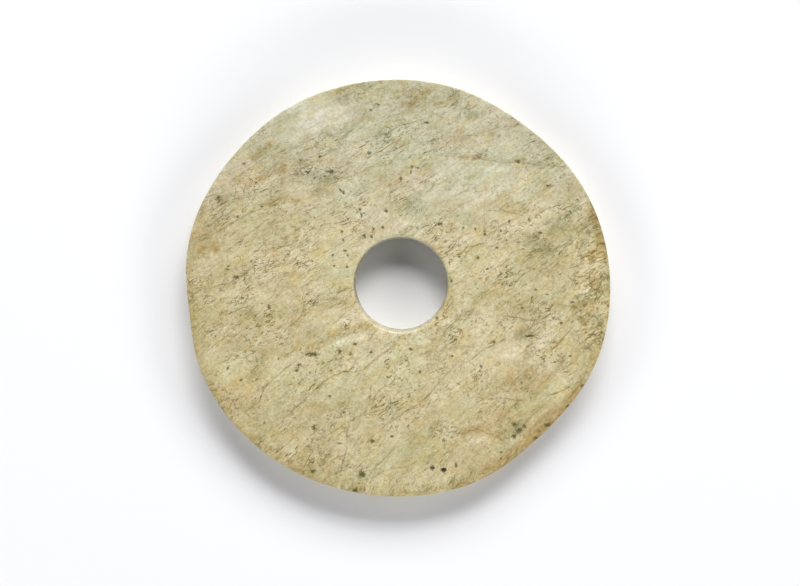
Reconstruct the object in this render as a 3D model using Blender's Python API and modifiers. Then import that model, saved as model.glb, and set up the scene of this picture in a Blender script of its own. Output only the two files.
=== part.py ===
"""A jade bi disc: a flat ritual ring of nephrite, sawn from a slab, ground round by hand and drilled from both faces.

It lies on its flat underside. Metres, +Z up, +X and +Y along the face, origin at the middle of its box, on the
surface it lies on. Run it with: blender --background --python part.py
"""

import math

import bpy
from mathutils import Vector

# The blank: how far the rim would reach if it were a true circle, how thick the slab is at the middle, how much it
# thins from there to the rim, and how much more towards the thin corner of the slab
DISC_RADIUS = 0.1014
CENTRE_THICKNESS = 0.0130
DOME = 0.0010
WEDGE = 0.0004
TOP_EDGE_ROUND = 0.0014
BOTTOM_EDGE_ROUND = 0.0011
WALL_BULGE = 0.00025

# Where grinding left the rim short of the circle: azimuth and spread in degrees, depth in metres
RIM_FLATS = (
    (4.0, 30.0, 0.0014),
    (53.0, 15.5, 0.0033),
    (95.0, 21.0, 0.0027),
    (139.0, 11.5, 0.0012),
    (186.0, 8.3, 0.0022),
    (267.0, 30.0, 0.0033),
    (315.0, 13.5, 0.0035),
)

# The thin corner of the slab, ground to a slope along the rim: angles in degrees
SLOPE_AZIMUTH = 314.0
SLOPE_HALF_SPAN = 22.0
SLOPE_WIDTH = 0.0072
SLOPE_ANGLE = 11.0

# The hole, from the middle of the disc's box: drilled from above down to a ridge, then from below with a narrower
# drill that met the first a little off its axis. Each drill tapers as it goes in.
BORE_CENTRE = (0.0012, 0.0023)
RIDGE_RADIUS = 0.0215
RIDGE_STEP = 0.0006
RIDGE_DEPTH = 0.0072
UPPER_DRILL_TAPER = 0.0008
LOWER_DRILL_TAPER = 0.0012
LOWER_DRILL_SHIFT = (0.0003, -0.0002)
BORE_EDGE_WEAR = 0.0005

# How finely the curves are faceted
RIM_STEPS = 120
BORE_STEPS = 96
FACE_RINGS = 10
SLOPE_RINGS = 3
ROUND_STEPS = 3

# How far a cutter runs past the face it enters, and past the ridge
CUTTER_CLEARANCE = 0.004
CUTTER_LAP = 0.0002

JADE_COLOUR = (0.545, 0.478, 0.286, 1.0)
JADE_ROUGHNESS = 0.42


def clear_scene():
    for old in list(bpy.data.objects):
        bpy.data.objects.remove(old, do_unlink=True)


def new_collection(name):
    collection = bpy.data.collections.new(name)
    bpy.context.scene.collection.children.link(collection)
    return collection


def jade_material():
    """Waxy, opaque yellow-green nephrite."""
    material = bpy.data.materials.new("jade")
    material.use_nodes = True
    shader = material.node_tree.nodes["Principled BSDF"]
    shader.inputs["Base Color"].default_value = JADE_COLOUR
    shader.inputs["Roughness"].default_value = JADE_ROUGHNESS
    shader.inputs["Metallic"].default_value = 0.0
    return material


def degrees_between(azimuth, other):
    """How far one azimuth is past another, from -180 to 180 degrees."""
    return (azimuth - other + 180.0) % 360.0 - 180.0


def rim_radius(azimuth):
    """How far the rim reaches at an azimuth in degrees, short of the circle by each flat in turn."""
    short = 0.0
    for middle, spread, depth in RIM_FLATS:
        short += depth * math.exp(-0.5 * (degrees_between(azimuth, middle) / spread) ** 2)
    return DISC_RADIUS - short


def slope_drop(azimuth, inset):
    """How much the ground slope takes off the upper face. inset is the distance in from the rim."""
    away = degrees_between(azimuth, SLOPE_AZIMUTH) / SLOPE_HALF_SPAN
    if abs(away) >= 1.0:
        return 0.0
    width = SLOPE_WIDTH * (1.0 - away * away)
    return max(width - inset, 0.0) * math.tan(math.radians(SLOPE_ANGLE))


def thickness_at(azimuth, radius):
    """The slab's thickness at a place on its upper face."""
    share = radius / DISC_RADIUS
    towards_corner = share * math.cos(math.radians(azimuth - SLOPE_AZIMUTH))
    slab = CENTRE_THICKNESS - DOME * share * share - WEDGE * towards_corner
    return slab - slope_drop(azimuth, rim_radius(azimuth) - radius)


def quarter_round(centre_r, centre_z, radius, start, end):
    """Points (r, z) along a quarter of a circle, between two angles in degrees."""
    points = []
    for step in range(ROUND_STEPS + 1):
        angle = math.radians(start + (end - start) * step / ROUND_STEPS)
        points.append((centre_r + radius * math.cos(angle), centre_z + radius * math.sin(angle)))
    return points


def blank_profile():
    """The disc's half section before it is ground out of round, from the middle of the top down to the underside."""
    wall = DISC_RADIUS - WALL_BULGE
    crease = DISC_RADIUS - SLOPE_WIDTH
    flat_end = wall - TOP_EDGE_ROUND
    points = [(crease * ring / FACE_RINGS, CENTRE_THICKNESS) for ring in range(FACE_RINGS)]
    for ring in range(SLOPE_RINGS):
        points.append((crease + (flat_end - crease) * ring / SLOPE_RINGS, CENTRE_THICKNESS))
    points += quarter_round(flat_end, CENTRE_THICKNESS - TOP_EDGE_ROUND, TOP_EDGE_ROUND, 90.0, 0.0)
    points.append((DISC_RADIUS, CENTRE_THICKNESS / 2))
    points += quarter_round(wall - BOTTOM_EDGE_ROUND, BOTTOM_EDGE_ROUND, BOTTOM_EDGE_ROUND, 0.0, -90.0)
    points.append((0.0, 0.0))
    return points


def turned_mesh(name, profile, steps):
    """A closed mesh that a Screw modifier turns round Z from points (r, z)."""
    outline = bpy.data.meshes.new(name)
    edges = [(i, i + 1) for i in range(len(profile) - 1)]
    outline.from_pydata([(r, 0.0, z) for r, z in profile], edges, [])
    turned = bpy.data.objects.new(name, outline)
    bpy.context.scene.collection.objects.link(turned)
    screw = turned.modifiers.new("turn", "SCREW")
    screw.steps = screw.render_steps = steps
    screw.use_merge_vertices = True
    screw.merge_threshold = 0.00001
    screw.use_smooth_shade = True
    graph = bpy.context.evaluated_depsgraph_get()
    mesh = bpy.data.meshes.new_from_object(turned.evaluated_get(graph))
    bpy.data.objects.remove(turned)
    bpy.data.meshes.remove(outline)
    mesh.name = name
    return mesh


def grind_to_shape(mesh):
    """Brings the turned blank's rim in to the real outline, thins its upper face and centres its box on the origin."""
    for vertex in mesh.vertices:
        azimuth = math.degrees(math.atan2(vertex.co.y, vertex.co.x))
        vertex.co.xy *= rim_radius(azimuth) / DISC_RADIUS
        vertex.co.z *= thickness_at(azimuth, vertex.co.xy.length) / CENTRE_THICKNESS
    xs = [vertex.co.x for vertex in mesh.vertices]
    ys = [vertex.co.y for vertex in mesh.vertices]
    middle = Vector((min(xs) + max(xs), min(ys) + max(ys), 0.0)) / 2
    for vertex in mesh.vertices:
        vertex.co -= middle
    mesh.update()


def drill(name, profile, collection):
    """A turned cutter that leaves no trace of itself in a render."""
    cutter = bpy.data.objects.new(name, turned_mesh(name, profile, BORE_STEPS))
    cutter.hide_render = True
    cutter.display_type = "WIRE"
    collection.objects.link(cutter)
    return cutter


def upper_drill(collection):
    """Enters at the upper face and ends just below the ridge."""
    ridge = CENTRE_THICKNESS - RIDGE_DEPTH
    end_radius = RIDGE_RADIUS + RIDGE_STEP
    face_radius = end_radius + UPPER_DRILL_TAPER
    flare_radius = face_radius + BORE_EDGE_WEAR + CUTTER_CLEARANCE
    profile = [
        (0.0, CENTRE_THICKNESS + CUTTER_CLEARANCE),
        (flare_radius, CENTRE_THICKNESS + CUTTER_CLEARANCE),
        (face_radius, CENTRE_THICKNESS - BORE_EDGE_WEAR),
        (end_radius, ridge - CUTTER_LAP),
        (0.0, ridge - CUTTER_LAP),
    ]
    cutter = drill("upper_drill", profile, collection)
    cutter.location = (BORE_CENTRE[0], BORE_CENTRE[1], 0.0)
    return cutter


def lower_drill(collection):
    """Enters at the underside and ends just above the ridge."""
    ridge = CENTRE_THICKNESS - RIDGE_DEPTH
    face_radius = RIDGE_RADIUS + LOWER_DRILL_TAPER
    flare_radius = face_radius + BORE_EDGE_WEAR + CUTTER_CLEARANCE
    profile = [
        (0.0, ridge + CUTTER_LAP),
        (RIDGE_RADIUS, ridge + CUTTER_LAP),
        (face_radius, BORE_EDGE_WEAR),
        (flare_radius, -CUTTER_CLEARANCE),
        (0.0, -CUTTER_CLEARANCE),
    ]
    cutter = drill("lower_drill", profile, collection)
    cutter.location = (BORE_CENTRE[0] + LOWER_DRILL_SHIFT[0], BORE_CENTRE[1] + LOWER_DRILL_SHIFT[1], 0.0)
    return cutter


def cut(target, cutter):
    boolean = target.modifiers.new(cutter.name, "BOOLEAN")
    boolean.operation = "DIFFERENCE"
    boolean.solver = "EXACT"
    boolean.object = cutter


def build():
    clear_scene()
    parts = new_collection("jade bi disc")
    cutters = new_collection("cutters")
    blank = turned_mesh("jade_disc", blank_profile(), RIM_STEPS)
    grind_to_shape(blank)
    disc = bpy.data.objects.new("jade_disc", blank)
    disc.data.materials.append(jade_material())
    parts.objects.link(disc)
    cut(disc, upper_drill(cutters))
    cut(disc, lower_drill(cutters))


build()
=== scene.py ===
# %% [markdown]
# A jade bi disc, carved about five thousand years ago: a flat ring of nephrite, sawn from a slab with a
# cord and wet sand, ground round by eye and drilled from both faces. This script dresses its CAD solid.
# The solid already has the outline, the hole, the domed face and the ground corner; what is left is the
# surface: saw scars, pits, cracks, a flaking edge, and the mottled, weathered colour of old nephrite.

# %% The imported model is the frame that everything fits
import math

import bpy
import numpy as np
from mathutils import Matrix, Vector, noise


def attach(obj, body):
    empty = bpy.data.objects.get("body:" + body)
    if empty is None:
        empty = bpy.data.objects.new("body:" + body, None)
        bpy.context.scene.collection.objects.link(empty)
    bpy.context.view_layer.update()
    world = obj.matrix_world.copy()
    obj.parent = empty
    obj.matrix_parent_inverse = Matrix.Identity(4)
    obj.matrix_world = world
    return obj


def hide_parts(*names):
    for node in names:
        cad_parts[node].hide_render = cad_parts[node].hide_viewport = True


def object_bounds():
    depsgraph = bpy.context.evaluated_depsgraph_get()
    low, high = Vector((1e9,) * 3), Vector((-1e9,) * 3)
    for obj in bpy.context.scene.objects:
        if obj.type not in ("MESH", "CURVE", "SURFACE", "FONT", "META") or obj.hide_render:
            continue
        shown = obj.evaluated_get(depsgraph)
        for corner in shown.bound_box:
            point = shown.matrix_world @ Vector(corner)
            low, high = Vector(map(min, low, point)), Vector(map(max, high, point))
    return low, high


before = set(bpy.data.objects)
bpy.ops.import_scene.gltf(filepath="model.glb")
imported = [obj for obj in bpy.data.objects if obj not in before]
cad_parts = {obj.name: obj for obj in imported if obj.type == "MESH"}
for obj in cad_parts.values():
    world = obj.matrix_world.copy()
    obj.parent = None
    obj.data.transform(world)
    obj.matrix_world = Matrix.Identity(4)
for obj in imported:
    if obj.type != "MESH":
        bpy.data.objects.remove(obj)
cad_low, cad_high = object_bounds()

MM = 0.001
print("CAD box in millimetres:", [round((high - low) / MM, 2) for low, high in zip(cad_low, cad_high)])

# %% [markdown]
# Marks on the stone are placed by where they show in the photograph, which looks straight down on the
# face. One scale turns a pixel into millimetres on the face: the disc is 200 mm wide and fills 424.3
# pixels.

# %% Places on the photograph
PHOTO_SIZE = (800, 586)
PHOTO_DISC_MIDDLE = (398.2, 288.1)
PHOTO_DISC_WIDTH = 424.3
PIXEL = (cad_high[0] - cad_low[0]) / MM / PHOTO_DISC_WIDTH


def on_face(px, py):
    """Millimetres right of and above the disc's middle, for a pixel of the photograph."""
    return (px - PHOTO_DISC_MIDDLE[0]) * PIXEL, (PHOTO_DISC_MIDDLE[1] - py) * PIXEL


print(f"one pixel is {PIXEL:.4f} mm")

# %% [markdown]
# The dressed stone has to keep the solid's form, so its sizes are the solid's, in millimetres. The rim
# is a circle that grinding left short in seven places, and the hole is two tapered drillings that meet
# at a ridge.

# %% The stone's own sizes
DISC_RADIUS = 101.35
THICKNESS = 13.0
DOME = 1.0
WEDGE = 0.4
RIM_FLATS = (
    (4.0, 30.0, 1.4),
    (53.0, 15.5, 3.3),
    (95.0, 21.0, 2.7),
    (139.0, 11.5, 1.2),
    (186.0, 8.3, 2.2),
    (267.0, 30.0, 3.3),
    (315.0, 13.5, 3.5),
)
SLOPE_AZIMUTH = 314.0
SLOPE_HALF_SPAN = 22.0
SLOPE_WIDTH = 7.2
SLOPE_RISE = math.tan(math.radians(11.0))
BORE_CENTRE = (1.2, 2.3)
RIDGE_RADIUS = 21.25
RIDGE_STEP = 0.6
RIDGE_HEIGHT = 5.8
RIDGE_WORN_BELOW = 0.25
RIDGE_WORN_ABOVE = 0.15
UPPER_TAPER = 0.55
LOWER_TAPER = 1.2
LOWER_SHIFT = (0.3, -0.2)
MOUTH_SHIFT = (0.1, -0.55)
BORE_ZONE = 40.0


def smooth(low, high, value):
    """0 below low, 1 above high, and an even S between them. low may be the larger."""
    share = np.clip((value - low) / (high - low), 0.0, 1.0)
    return share * share * (3.0 - 2.0 * share)


def turn_between(azimuth, other):
    """How far one azimuth is past another, from -180 to 180 degrees."""
    return (azimuth - other + 180.0) % 360.0 - 180.0


def rim_radius(azimuth):
    """The rim's reach in millimetres at azimuths in degrees."""
    reach = np.full_like(azimuth, DISC_RADIUS)
    for middle, spread, depth in RIM_FLATS:
        reach -= depth * np.exp(-0.5 * (turn_between(azimuth, middle) / spread) ** 2)
    return reach


def bore_radius(height):
    """The hole's radius at heights above the underside."""
    upper_depth = THICKNESS - RIDGE_HEIGHT
    upper = RIDGE_RADIUS + RIDGE_STEP + UPPER_TAPER * (height - RIDGE_HEIGHT) / upper_depth
    lower = RIDGE_RADIUS + LOWER_TAPER * (RIDGE_HEIGHT - height) / RIDGE_HEIGHT
    step = smooth(RIDGE_HEIGHT - RIDGE_WORN_BELOW, RIDGE_HEIGHT + RIDGE_WORN_ABOVE, height)
    return lower + (upper - lower) * step


def near_bore(x, y):
    """Whether places are nearer the hole than the rim, which tells one wall from the other."""
    return np.hypot(x - BORE_CENTRE[0], y - BORE_CENTRE[1]) < BORE_ZONE


samples = np.arange(0.0, 360.0, 0.25)
rim_x = rim_radius(samples) * np.cos(np.radians(samples))
rim_y = rim_radius(samples) * np.sin(np.radians(samples))
OFF_MIDDLE = ((rim_x.min() + rim_x.max()) / 2, (rim_y.min() + rim_y.max()) / 2)
print(f"rim {np.ptp(rim_x):.2f} x {np.ptp(rim_y):.2f} mm")
print(f"the middle of its box is {OFF_MIDDLE[0]:.2f}, {OFF_MIDDLE[1]:.2f} mm off the blank's")

# %% [markdown]
# A ring like this could be a cylinder with a hole cut through it, but its faces would be two huge
# polygons with nothing in them to carve. Instead one cross-section of the ring, a rounded oblong, is
# cut into short steps where relief is wanted, and spun about the upright axis. That gives an even net
# of small faces over the whole upper face.

# %% Helpers for editing by hand
def edit(piece, chosen=None):
    """Opens a mesh for editing, with all selected or what chosen(x, y, z) in millimetres picks."""
    bpy.ops.object.select_all(action="DESELECT")
    piece.select_set(True)
    bpy.context.view_layer.objects.active = piece
    bpy.ops.object.mode_set(mode="EDIT")
    bpy.ops.mesh.select_mode(type="VERT")
    bpy.ops.mesh.select_all(action="SELECT" if chosen is None else "DESELECT")
    bpy.ops.object.mode_set(mode="OBJECT")
    if chosen is not None:
        for vertex in piece.data.vertices:
            vertex.select = bool(chosen(*(vertex.co / MM)))
    bpy.ops.object.mode_set(mode="EDIT")
    bpy.ops.mesh.select_mode(type="VERT")


def done():
    bpy.ops.object.mode_set(mode="OBJECT")


# %% [markdown]
# The slab was 13 mm thick, so the cross-section is an oblong of the slab's thickness that reaches from
# the hole to the rim. It could be drawn point by point. A plane is quicker: it is pulled to its size in
# edit mode and then stood on its edge.

# %% The ring's cross-section, one flat oblong
SECTION_IN = RIDGE_RADIUS
SECTION_WIDTH = DISC_RADIUS - SECTION_IN
bpy.ops.object.select_all(action="DESELECT")
bpy.ops.mesh.primitive_plane_add(size=1.0)
stone = bpy.context.object
stone.name = stone.data.name = "carved_disc"
edit(stone)
bpy.ops.transform.resize(value=(SECTION_WIDTH * MM, THICKNESS * MM, 1.0))
bpy.ops.transform.translate(value=((SECTION_IN + SECTION_WIDTH / 2) * MM, THICKNESS / 2 * MM, 0.0))
done()
for vertex in stone.data.vertices:
    vertex.co = (vertex.co.x, 0.0, vertex.co.y)
section = [tuple(round(c / MM, 1) for c in vertex.co) for vertex in stone.data.vertices]
print("section corners:", section)

# %% [markdown]
# Grinding with sand never leaves a sharp corner, and five thousand years of handling wore these more.
# The lower rim and the two lips of the hole are rounded wide, the upper rim tighter, all by a vertex
# bevel. The face gets most of the steps, because all the carving is there.

# %% Rounded corners and short steps
MOUTH_ROUND = 1.1
UPPER_RIM_ROUND = 0.4
LOWER_RIM_ROUND = 1.1
ROUND_STEPS = 4
ON_SIDE = 1e-3
corners = (
    (MOUTH_ROUND, lambda x, y, z: x < SECTION_IN + 1 and z > THICKNESS - ON_SIDE),
    (MOUTH_ROUND, lambda x, y, z: x < SECTION_IN + 1 and z < ON_SIDE),
    (UPPER_RIM_ROUND, lambda x, y, z: x > DISC_RADIUS - 1 and z > THICKNESS - ON_SIDE),
    (LOWER_RIM_ROUND, lambda x, y, z: x > DISC_RADIUS - 1 and z < ON_SIDE),
)
for radius, corner in corners:
    edit(stone, corner)
    bpy.ops.mesh.bevel(offset=radius * MM, segments=ROUND_STEPS, affect="VERTICES")
    done()

FACE_CUTS = 104
UNDERSIDE_CUTS = 9
BORE_CUTS = 13
RIM_CUTS = 7
sides = (
    (FACE_CUTS, lambda x, y, z: z > THICKNESS - ON_SIDE),
    (UNDERSIDE_CUTS, lambda x, y, z: z < ON_SIDE),
    (BORE_CUTS, lambda x, y, z: x < SECTION_IN + ON_SIDE),
    (RIM_CUTS, lambda x, y, z: x > DISC_RADIUS - ON_SIDE),
)
for cuts, side in sides:
    edit(stone, side)
    bpy.ops.mesh.subdivide(number_cuts=cuts)
    done()
print("points round the section:", len(stone.data.vertices))

# %% [markdown]
# The oblong needs no inside, so its face goes and its outline is spun round once. The last copy lies on
# the first, so the doubles are merged, and the normals are made to point outwards before anything is
# built on them.

# %% One turn of the section
RING_STEPS = 600
MERGE_WITHIN = 0.001
edit(stone)
bpy.ops.mesh.delete(type="ONLY_FACE")
bpy.ops.mesh.select_all(action="SELECT")
bpy.ops.mesh.spin(steps=RING_STEPS, angle=math.tau, center=(0.0, 0.0, 0.0), axis=(0.0, 0.0, 1.0))
bpy.ops.mesh.select_all(action="SELECT")
bpy.ops.mesh.remove_doubles(threshold=MERGE_WITHIN * MM)
bpy.ops.mesh.normals_make_consistent(inside=False)
done()
print("ring:", len(stone.data.vertices), "points,", len(stone.data.polygons), "faces")

# %% [markdown]
# Every point of the ring now has a radius, an azimuth and a height. The rim's points are drawn in to
# the real outline and the hole's to the drilled wall, and those between share the move, so no face is
# stretched.

# %% The blank becomes this stone
DRILLS_MEET = 0.4
WALL_BULGE = 0.1
CREASE_WEAR = 0.35


def points_of(piece):
    """The points of a piece in millimetres."""
    flat = np.empty(len(piece.data.vertices) * 3, np.float32)
    piece.data.vertices.foreach_get("co", flat)
    return flat.reshape(-1, 3).astype(float) / MM


def move_points(piece, points):
    piece.data.vertices.foreach_set("co", (points * MM).astype(np.float32).ravel())
    piece.data.update()


blank = points_of(stone)
blank_radius = np.hypot(blank[:, 0], blank[:, 1])
azimuth = np.degrees(np.arctan2(blank[:, 1], blank[:, 0]))
around = np.stack([np.cos(np.radians(azimuth)), np.sin(np.radians(azimuth))], axis=1)
height = blank[:, 2]
out_share = ((blank_radius - SECTION_IN) / SECTION_WIDTH)[:, None]

upper_drilling = smooth(RIDGE_HEIGHT - DRILLS_MEET, RIDGE_HEIGHT + DRILLS_MEET, height)[:, None]
mouth_share = smooth(RIDGE_HEIGHT, THICKNESS, height)[:, None]
bore_axis = np.array(BORE_CENTRE) + (1.0 - upper_drilling) * np.array(LOWER_SHIFT)
bore_axis += mouth_share * np.array(MOUTH_SHIFT)
bore_points = bore_axis + bore_radius(height)[:, None] * around
bulge = WALL_BULGE * (1.0 - (height / THICKNESS * 2.0 - 1.0) ** 2)
rim_points = (rim_radius(azimuth) + bulge - WALL_BULGE)[:, None] * around - np.array(OFF_MIDDLE)
place = bore_points + (rim_points - bore_points) * out_share


def slope_drop(azimuth, inset):
    """How much the ground corner takes off the upper face, with a crease worn soft."""
    away = np.clip(turn_between(azimuth, SLOPE_AZIMUTH) / SLOPE_HALF_SPAN, -1.0, 1.0)
    past = SLOPE_WIDTH * (1.0 - away * away) - inset
    worn = past + np.sqrt(past * past + CREASE_WEAR)
    return SLOPE_RISE * 0.5 * worn * smooth(1.0, 0.9, np.abs(away))


def slab_at(x, y):
    """The height of the upper face over a place on the disc."""
    from_x, from_y = x + OFF_MIDDLE[0], y + OFF_MIDDLE[1]
    reach = np.hypot(from_x, from_y)
    bearing = np.degrees(np.arctan2(from_y, from_x))
    share = reach / DISC_RADIUS
    tilt = WEDGE * share * np.cos(np.radians(bearing - SLOPE_AZIMUTH))
    drop = slope_drop(bearing, np.maximum(rim_radius(bearing) - reach, 0.0))
    return THICKNESS - DOME * share**2 - tilt - drop


shaped = np.column_stack([place, height * slab_at(*place.T) / THICKNESS])
move_points(stone, shaped)
print("stone box:", shaped.min(0).round(2), shaped.max(0).round(2))

# %% [markdown]
# The finest carving needs finer faces. Where the edge flakes and round the two deep pits, each face is
# cut again, and the rest of the disc stays as it is, because faces that show nothing cost as much as
# faces that do.

# %% Finer faces at the flaking edge and the pits
PIT_PLACES = ((443.4, 469.8), (432.4, 467.8))
FLAKING_FROM = on_face(572, 375)
FLAKING_TO = on_face(612, 205)
PIT_REACH = 3.2
UPPER_PART = 5.0


def in_flaking_edge(x, y, z):
    return z > UPPER_PART and x > FLAKING_FROM[0] and FLAKING_FROM[1] < y < FLAKING_TO[1]


def near_pit(x, y, z):
    return z > UPPER_PART and any(math.dist((x, y), on_face(*pit)) < PIT_REACH for pit in PIT_PLACES)


for chosen in (in_flaking_edge, near_pit, near_pit):
    edit(stone, chosen)
    bpy.ops.mesh.subdivide(number_cuts=1, ngon=False)
    done()
    print("faces now:", len(stone.data.polygons))

# %% [markdown]
# Lines on the stone, such as saw scars and cracks, are drawn as short runs of points by where they
# show. The helper measures every point of the mesh against such a line: how far beside it, how far
# along it, and on which side.

# %% A ruler for lines drawn on the face
def beside(x, y, line):
    """Millimetres beside a line through pixels, above 0 on its left; along it; and its length."""
    corners = [on_face(*corner) for corner in line]
    nearest = np.full(x.shape, np.inf)
    side = np.ones(x.shape)
    along = np.zeros(x.shape)
    walked = 0.0
    for (from_x, from_y), (to_x, to_y) in zip(corners, corners[1:]):
        run_x, run_y = to_x - from_x, to_y - from_y
        run = math.hypot(run_x, run_y)
        share = np.clip(((x - from_x) * run_x + (y - from_y) * run_y) / run**2, 0.0, 1.0)
        off_x, off_y = x - from_x - share * run_x, y - from_y - share * run_y
        gap = np.hypot(off_x, off_y)
        nearer = gap < nearest
        nearest = np.where(nearer, gap, nearest)
        side = np.where(nearer, np.where(run_x * off_y > run_y * off_x, 1.0, -1.0), side)
        along = np.where(nearer, walked + share * run, along)
        walked += run
    return nearest * side, along, walked


def tapered(along, length, taper):
    """1 along a line, falling to 0 over the taper at both ends."""
    return smooth(0.0, taper, along) * smooth(0.0, taper, length - along)


def ripple(points, size, seed):
    """Even, smooth noise from about -1 to 1, with waves of the given size in millimetres."""
    shift = Vector((seed * 17.3, seed * 5.1, seed * 9.7))
    return np.array([noise.noise(Vector(point) / size + shift) for point in points])


# %% [markdown]
# The face was never flat. A cord charged with sand swings as it saws, and leaves long shallow scars
# with one steep side. They are pressed into the mesh as troughs, deepest on their line, steep above it
# and gentle below it.

# %% Saw scars, swells and pits of the upper face
SAW_SCARS = (
    (0.34, 1.7, 8.0, ((430, 155), (460, 156.5), (481, 158), (501, 163), (518, 162), (537, 165),
        (568, 167))),
    (0.30, 3.0, 6.5, ((300, 351), (325, 343), (345, 336), (374, 328), (386, 325))),
    (0.20, 2.2, 6.0, ((440, 315), (480, 317), (515, 318), (552, 323))),
    (0.22, 2.6, 5.0, ((430, 450), (442, 441), (455, 437), (475, 433), (495, 438), (517, 450))),
    (0.10, 1.6, 4.0, ((448, 396), (487, 397), (524, 401))),
    (0.12, 2.0, 5.0, ((392, 153), (412, 143), (438, 139), (456, 137), (487, 131), (526, 124))),
)
PIT_SIZES = ((1.5, 0.8), (1.2, 0.45))
CHIPS = (
    (602, 257, 2.6, 0.45),
    (606, 268, 2.0, 0.35),
    (597, 369, 3.0, 0.5),
    (589, 379, 2.4, 0.4),
    (208, 192, 2.2, 0.3),
    (188, 288, 2.4, 0.3),
    (450, 492, 2.6, 0.3),
    (520, 464, 3.0, 0.4),
)
SCAR_TAPER = 12.0
RIM_WEAR, RIM_WEAR_REACH = 0.05, 2.5
MOUTH_WEAR, LOWER_MOUTH_WEAR, MOUTH_WEAR_REACH = 0.05, 0.13, 3.0

# %% [markdown]
# Each kind of wear is one line of arithmetic on every point's place: soft swells from noise, a trough
# for each scar, a bowl for each pit and chip, and a fall towards the rim and the hole where fingers
# and cords have worn the edges. The whole face lies a little under the solid's, so that no swell rises
# past it.

# %% Scars, pits and chips pressed in
SWELLS = ((0.075, 34.0, 1), (0.035, 13.0, 2), (0.012, 5.0, 3))
FACE_SET_BACK = 0.13
points = points_of(stone)
x, y, z = points.T
from_rim = rim_radius(np.degrees(np.arctan2(y, x))) - np.hypot(x, y)
on_top = smooth(1.6, 0.3, slab_at(x, y) - z)
below = smooth(1.2, 0.2, z)
at_rim = smooth(4.0, 0.8, from_rim)

relief = sum(rise * ripple(points, waves, seed) for rise, waves, seed in SWELLS) - FACE_SET_BACK
for depth, above, under, line in SAW_SCARS:
    offset, along, length = beside(x, y, line)
    shape = np.where(offset > 0.0, smooth(above, 0.0, offset), smooth(under, 0.0, -offset))
    relief -= depth * shape * tapered(along, length, SCAR_TAPER)
for (pit_x, pit_y), (radius, depth) in zip(PIT_PLACES, PIT_SIZES):
    centre = on_face(pit_x, pit_y)
    relief -= depth * smooth(radius, 0.25 * radius, np.hypot(x - centre[0], y - centre[1]))
mouth_x, mouth_y = x - BORE_CENTRE[0] - MOUTH_SHIFT[0], y - BORE_CENTRE[1] - MOUTH_SHIFT[1]
from_mouth = np.hypot(mouth_x, mouth_y) - RIDGE_RADIUS - RIDGE_STEP - UPPER_TAPER
lower_side = smooth(-0.2, 1.0, -mouth_y / np.hypot(mouth_x, mouth_y))
relief -= RIM_WEAR * smooth(RIM_WEAR_REACH, 0.0, from_rim)
relief -= (MOUTH_WEAR + LOWER_MOUTH_WEAR * lower_side) * smooth(MOUTH_WEAR_REACH, 0.0, from_mouth)
for chip_x, chip_y, radius, depth in CHIPS:
    centre = on_face(chip_x, chip_y)
    relief -= depth * smooth(radius, 0.0, np.hypot(x - centre[0], y - centre[1])) * at_rim
print(f"deepest relief {relief.min():.2f} mm, highest {relief.max():.2f} mm")

# %% [markdown]
# At the right the stone weathered along its own layers and came away in flakes. Layers of one thickness
# make steps of one height, so smooth noise is rounded to steps, with a worn slope between them.

# %% The flaking edge
LAYER = 0.13
LAYERS_LOST = 0.6
LAYER_RUN = (0.74, 0.67)
LAYER_STRETCH = 0.42
FLAKE_ZONE = ((598, 290, 30, 88, 1.0), (583, 240, 18, 22, 0.8), (600, 232, 12, 26, 1.0, 20))


def on_upper_part(z):
    """0 on the lower part of the disc, 1 on the upper part."""
    return smooth(3.0, 8.0, z)


def in_patches(x, y, patches):
    """How deep points lie in soft ellipses.

    A patch is its middle, its reach along and across in pixels, its strength, and its turn in degrees if
    it has one.
    """
    deepest = np.zeros(x.shape)
    for px, py, reach_x, reach_y, strength, *turns in patches:
        middle_x, middle_y = on_face(px, py)
        turn = math.radians(sum(turns))
        cosine, sine = math.cos(turn), math.sin(turn)
        across = ((x - middle_x) * cosine + (y - middle_y) * sine) / (reach_x * PIXEL)
        up = ((y - middle_y) * cosine - (x - middle_x) * sine) / (reach_y * PIXEL)
        deepest = np.maximum(deepest, strength * smooth(1.3, 0.45, np.hypot(across, up)))
    return deepest


flaking = in_patches(x, y, FLAKE_ZONE) * on_upper_part(z)
along = (x * LAYER_RUN[0] + y * LAYER_RUN[1]) * LAYER_STRETCH
across = y * LAYER_RUN[0] - x * LAYER_RUN[1]
levels = 2.2 * ripple(np.column_stack([along, across, z]), 3.4, 5) + 0.9 * ripple(points, 2.1, 6)
flakes = LAYER * (np.floor(levels) + smooth(0.3, 0.7, levels - np.floor(levels)))
relief += flaking * (flakes - LAYER * LAYERS_LOST)
print(f"flakes from {flakes.min():.2f} to {flakes.max():.2f} mm")

# %% [markdown]
# The rim was ground by hand and shows soft, broad facets, and the drill's sand left faint rings in the
# hole. The underside isn't seen, so it is kept plainer and only swells a little. All of it goes into the
# mesh at once, and then the lowest point is set back on the surface that the disc lies on.

# %% The walls and the underside, and the relief goes into the mesh
WALL_SET_BACK = 0.09
BORE_SET_BACK = 0.02
UNDERSIDE_SET_BACK = 0.12
wall_share = (1.0 - on_top) * (1.0 - below)
outwards = np.column_stack([x, y]) / np.hypot(x, y)[:, None]
facets = 0.07 * ripple(points, 9.0, 7) + 0.02 * ripple(points, 3.0, 8)
drill_rings = 0.035 * ripple(np.column_stack([0 * x, 0 * x, z]), 1.5, 9)
wall_relief = np.where(near_bore(x, y), drill_rings + BORE_SET_BACK, facets - WALL_SET_BACK)
wall_relief *= wall_share
under_relief = UNDERSIDE_SET_BACK + 0.07 * ripple(points, 30.0, 10) + 0.02 * ripple(points, 8.0, 11)
points[:, :2] += outwards * wall_relief[:, None]
points[:, 2] += on_top * relief + below * under_relief * (1.0 - on_top)
points[:, 2] -= points[:, 2].min()
move_points(stone, points)
print("carved box:", points.min(0).round(3), points.max(0).round(3))

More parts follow.
